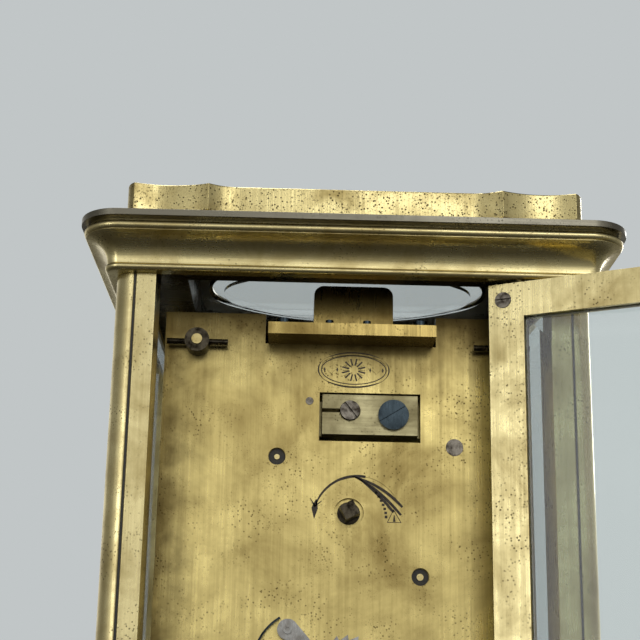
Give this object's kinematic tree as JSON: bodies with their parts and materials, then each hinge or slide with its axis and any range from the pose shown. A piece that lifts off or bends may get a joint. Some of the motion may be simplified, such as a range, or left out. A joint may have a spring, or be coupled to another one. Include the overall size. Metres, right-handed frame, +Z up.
{
  "type": "carriage clock",
  "caption": "Glazed brass carriage clock with a folding bail handle, an opening back door and a full spring-driven movement on a platform escapement.",
  "frame": {"origin": "centre of the base's bottom face", "axes": "+Z up, dial towards -Y, back door towards +Y"},
  "size_m": [0.1133, 0.0827, 0.1079],
  "materials": {
    "case_brass": "aged polished",
    "handle_brass": "aged polished",
    "gilt_plate": null,
    "wheel_brass": "aged polished",
    "gilt_mask": null,
    "steel": null,
    "blued_steel": null,
    "screw_steel": null,
    "glass": null,
    "enamel": null
  },
  "bodies": {
    "root": {"base": "case_brass", "cornice": "case_brass", "top_plate": "case_brass", "top_glass": "glass", "pillar_front_left": "case_brass", "pillar_front_right": "case_brass", "pillar_back_left": "case_brass", "pillar_back_right": "case_brass", "front_glass": "glass", "left_glass": "glass", "right_glass": "glass", "case_screws": "screw_steel", "handle_post_left": "handle_brass", "handle_post_right": "handle_brass", "handle_pivot_screws": "blued_steel", "front_plate": "gilt_plate", "back_plate": "gilt_plate", "movement_pillars": "wheel_brass", "pillar_collars": "case_brass", "taper_pins": "steel", "movement_screws": "screw_steel", "plate_pins": "screw_steel", "click_spring": "blued_steel", "contrate_block": "gilt_plate", "block_screw": "blued_steel", "endshake_screw": "screw_steel", "platform": "gilt_plate", "platform_screws": "blued_steel", "escape_potence": "gilt_plate", "escape_cock": "gilt_plate", "hairspring": "blued_steel", "balance_cock": "gilt_plate", "dial": "enamel", "dial_mask": "gilt_mask"},
    "handle": {"handle": "handle_brass"},
    "door": {"door_frame": "case_brass", "door_glass": "glass", "door_hinge_pins": "steel", "door_corner_screws": "screw_steel", "door_knob": "case_brass"},
    "barrel": {"barrel": "wheel_brass", "barrel_cover": "wheel_brass", "mainspring": "steel"},
    "winding_arbor": {"barrel_arbor": "steel", "ratchet_wheel": "steel"},
    "click": {"click": "steel"},
    "intermediate_arbor": {"intermediate_wheel": "wheel_brass"},
    "centre_arbor": {"centre_arbor": "steel", "centre_wheel": "wheel_brass", "cannon_pinion": "wheel_brass", "minute_hand": "blued_steel"},
    "third_arbor": {"third_wheel": "wheel_brass"},
    "contrate_arbor": {"contrate_wheel": "wheel_brass"},
    "escape_arbor": {"escape_wheel": "steel"},
    "lever": {"lever": "steel"},
    "balance": {"balance_wheel": "wheel_brass"},
    "regulator": {"regulator": "steel"},
    "minute_wheel": {"minute_wheel": "wheel_brass"},
    "hour_wheel": {"hour_wheel": "wheel_brass", "hour_hand": "blued_steel"}
  },
  "joints": [
    {"name": "handle_swing", "type": "hinge", "parent": "root", "child": "handle", "pos_m": [0, 0, 0.105], "axis": [1, 0, 0], "range_deg": [0, 180]},
    {"name": "door_swing", "type": "hinge", "parent": "root", "child": "door", "pos_m": [-0.0243, 0.0264, 0.054], "axis": [0, 0, 1], "range_deg": [-155, 3]},
    {"name": "centre_spin", "type": "hinge", "parent": "root", "child": "centre_arbor", "pos_m": [0, 0, 0.0608], "axis": [0, 1, 0], "continuous": true},
    {"name": "barrel_spin", "type": "hinge", "parent": "root", "child": "barrel", "pos_m": [0, 0, 0.037], "axis": [0, 1, 0], "continuous": true},
    {"name": "intermediate_spin", "type": "hinge", "parent": "root", "child": "intermediate_arbor", "pos_m": [-0.01054, 0, 0.05159], "axis": [0, 1, 0], "continuous": true},
    {"name": "third_spin", "type": "hinge", "parent": "root", "child": "third_arbor", "pos_m": [0.0108, 0, 0.0691], "axis": [0, 1, 0], "continuous": true},
    {"name": "contrate_spin", "type": "hinge", "parent": "root", "child": "contrate_arbor", "pos_m": [0, 0, 0.0762], "axis": [0, 1, 0], "continuous": true},
    {"name": "escape_spin", "type": "hinge", "parent": "root", "child": "escape_arbor", "pos_m": [0, -0.005, 0.09], "axis": [0, 0, 1], "continuous": true},
    {"name": "minute_wheel_spin", "type": "hinge", "parent": "root", "child": "minute_wheel", "pos_m": [0.0042, 0, 0.05353], "axis": [0, 1, 0], "continuous": true},
    {"name": "hour_spin", "type": "hinge", "parent": "root", "child": "hour_wheel", "pos_m": [0, 0, 0.0608], "axis": [0, 1, 0], "continuous": true},
    {"name": "winding_spin", "type": "hinge", "parent": "root", "child": "winding_arbor", "pos_m": [0, 0, 0.037], "axis": [0, 1, 0], "continuous": true},
    {"name": "click_lift", "type": "hinge", "parent": "root", "child": "click", "pos_m": [0.0086, 0.018, 0.0436], "axis": [0, 1, 0], "range_deg": [0, 10], "stiffness_Nm_per_rad": 0.0002, "springref_deg": -5.73},
    {"name": "lever_rock", "type": "hinge", "parent": "root", "child": "lever", "pos_m": [0, -0.0009, 0.09], "axis": [0, 0, 1], "range_deg": [-5, 5]},
    {"name": "balance_swing", "type": "hinge", "parent": "root", "child": "balance", "pos_m": [0, 0.0056, 0.0925], "axis": [0, 0, 1], "range_deg": [-270, 270], "stiffness_Nm_per_rad": 0.0000025},
    {"name": "regulator_turn", "type": "hinge", "parent": "root", "child": "regulator", "pos_m": [0, 0.0056, 0.096], "axis": [0, 0, 1], "range_deg": [-15, 15]}
  ],
  "couplings": [
    {"joint": "barrel_spin", "follows": "centre_spin", "ratio": 0.020833},
    {"joint": "intermediate_spin", "follows": "centre_spin", "ratio": -0.16667},
    {"joint": "third_spin", "follows": "centre_spin", "ratio": -8},
    {"joint": "contrate_spin", "follows": "centre_spin", "ratio": 60},
    {"joint": "escape_spin", "follows": "centre_spin", "ratio": -600},
    {"joint": "minute_wheel_spin", "follows": "centre_spin", "ratio": -0.33333},
    {"joint": "hour_spin", "follows": "centre_spin", "ratio": 0.083333}
  ]
}
